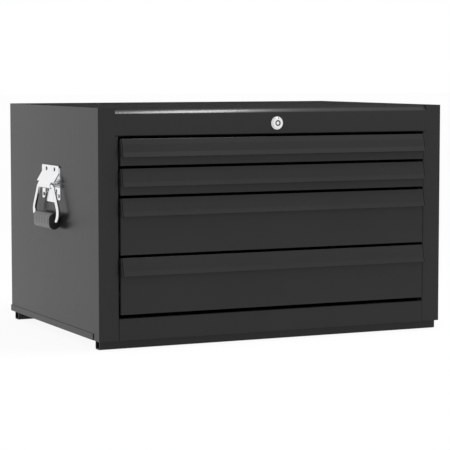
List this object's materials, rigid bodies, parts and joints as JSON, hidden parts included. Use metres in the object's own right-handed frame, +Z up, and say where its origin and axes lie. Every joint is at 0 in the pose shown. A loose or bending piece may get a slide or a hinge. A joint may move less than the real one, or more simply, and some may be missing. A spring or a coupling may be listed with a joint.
{
  "type": "machinist tool chest",
  "caption": "Low steel tool chest with shallow and deep full-width drawers, a key lock in the header, lifting handles on the sides and skids underneath.",
  "frame": {"origin": "on the floor, under the middle of the chest's bounding box", "axes": "+X to the right seen from the front, +Y to the back, +Z up; the drawers open towards -Y"},
  "size_m": [0.7294, 0.4916, 0.4215],
  "materials": {
    "case_paint": "charcoal powder coat, fine texture, satin",
    "drawer_paint": "charcoal powder coat, fine texture, satin",
    "zinc_steel": "zinc-plated steel",
    "chrome": "bright chrome plate",
    "grip_rubber": "black ribbed grip",
    "mat_felt": "dark grey felt",
    "guide_plastic": "natural nylon"
  },
  "bodies": {
    "case": {"left_side_panel": "case_paint", "right_side_panel": "case_paint", "top_panel": "case_paint", "header_rail": "case_paint", "bottom_rail": "case_paint", "back_panel": "case_paint", "bottom_panel": "case_paint", "front_skid": "case_paint", "rear_skid": "case_paint", "skid_rivets": "zinc_steel", "left_rail_uprights": "case_paint", "right_rail_uprights": "case_paint", "lock_body": "chrome", "lock_nut": "zinc_steel", "lock_bar_guides": "guide_plastic", "lock_rod_bracket": "zinc_steel", "left_handle_back_plate": "chrome", "left_handle_bracket": "chrome", "left_handle_rivets": "chrome", "right_handle_back_plate": "chrome", "right_handle_bracket": "chrome", "right_handle_rivets": "chrome", "drawer_1_case_rails": "zinc_steel", "drawer_2_case_rails": "zinc_steel", "drawer_3_case_rails": "zinc_steel", "drawer_4_case_rails": "zinc_steel"},
    "drawer_1": {"drawer_1_front": "drawer_paint", "drawer_1_pull": "drawer_paint", "drawer_1_pan": "drawer_paint", "drawer_1_mat": "mat_felt", "drawer_1_drawer_rails": "zinc_steel"},
    "drawer_1_middle": {"drawer_1_middle_rails": "zinc_steel"},
    "drawer_2": {"drawer_2_front": "drawer_paint", "drawer_2_pull": "drawer_paint", "drawer_2_pan": "drawer_paint", "drawer_2_mat": "mat_felt", "drawer_2_drawer_rails": "zinc_steel"},
    "drawer_2_middle": {"drawer_2_middle_rails": "zinc_steel"},
    "drawer_3": {"drawer_3_front": "drawer_paint", "drawer_3_pull": "drawer_paint", "drawer_3_pan": "drawer_paint", "drawer_3_mat": "mat_felt", "drawer_3_drawer_rails": "zinc_steel"},
    "drawer_3_middle": {"drawer_3_middle_rails": "zinc_steel"},
    "drawer_4": {"drawer_4_front": "drawer_paint", "drawer_4_pull": "drawer_paint", "drawer_4_pan": "drawer_paint", "drawer_4_mat": "mat_felt", "drawer_4_drawer_rails": "zinc_steel"},
    "drawer_4_middle": {"drawer_4_middle_rails": "zinc_steel"},
    "lock": {"lock_plug": "chrome", "lock_rod": "zinc_steel", "lock_crank": "zinc_steel"},
    "lock_bar": {"lock_bar": "zinc_steel"},
    "left_bail": {"left_handle_bail": "chrome", "left_handle_grip": "grip_rubber"},
    "right_bail": {"right_handle_bail": "chrome", "right_handle_grip": "grip_rubber"}
  },
  "joints": [
    {"name": "drawer_1_slide", "type": "slide", "parent": "case", "child": "drawer_1", "axis": [0, -1, 0], "range_m": [0, 0.4]},
    {"name": "drawer_1_middle_slide", "type": "slide", "parent": "case", "child": "drawer_1_middle", "axis": [0, -1, 0], "range_m": [0, 0.2]},
    {"name": "drawer_2_slide", "type": "slide", "parent": "case", "child": "drawer_2", "axis": [0, -1, 0], "range_m": [0, 0.4]},
    {"name": "drawer_2_middle_slide", "type": "slide", "parent": "case", "child": "drawer_2_middle", "axis": [0, -1, 0], "range_m": [0, 0.2]},
    {"name": "drawer_3_slide", "type": "slide", "parent": "case", "child": "drawer_3", "axis": [0, -1, 0], "range_m": [0, 0.4]},
    {"name": "drawer_3_middle_slide", "type": "slide", "parent": "case", "child": "drawer_3_middle", "axis": [0, -1, 0], "range_m": [0, 0.2]},
    {"name": "drawer_4_slide", "type": "slide", "parent": "case", "child": "drawer_4", "axis": [0, -1, 0], "range_m": [0, 0.4]},
    {"name": "drawer_4_middle_slide", "type": "slide", "parent": "case", "child": "drawer_4_middle", "axis": [0, -1, 0], "range_m": [0, 0.2]},
    {"name": "lock_turn", "type": "hinge", "parent": "case", "child": "lock", "pos_m": [0, -0.23135, 0.3917], "axis": [0, 1, 0], "range_deg": [0, 90]},
    {"name": "lock_bar_lift", "type": "slide", "parent": "case", "child": "lock_bar", "axis": [0, 0, 1], "range_m": [0, 0.01273]},
    {"name": "left_handle_swing", "type": "hinge", "parent": "case", "child": "left_bail", "pos_m": [-0.3542, 0.00665, 0.2755], "axis": [0, 1, 0], "range_deg": [0, 90]},
    {"name": "right_handle_swing", "type": "hinge", "parent": "case", "child": "right_bail", "pos_m": [0.3542, 0.00665, 0.2755], "axis": [0, -1, 0], "range_deg": [0, 90]}
  ],
  "couplings": [
    {"joint": "drawer_1_middle_slide", "follows": "drawer_1_slide", "ratio": 0.5},
    {"joint": "drawer_2_middle_slide", "follows": "drawer_2_slide", "ratio": 0.5},
    {"joint": "drawer_3_middle_slide", "follows": "drawer_3_slide", "ratio": 0.5},
    {"joint": "drawer_4_middle_slide", "follows": "drawer_4_slide", "ratio": 0.5},
    {"joint": "lock_turn", "follows": "lock_bar_lift", "rad_per_m": 123.41}
  ]
}
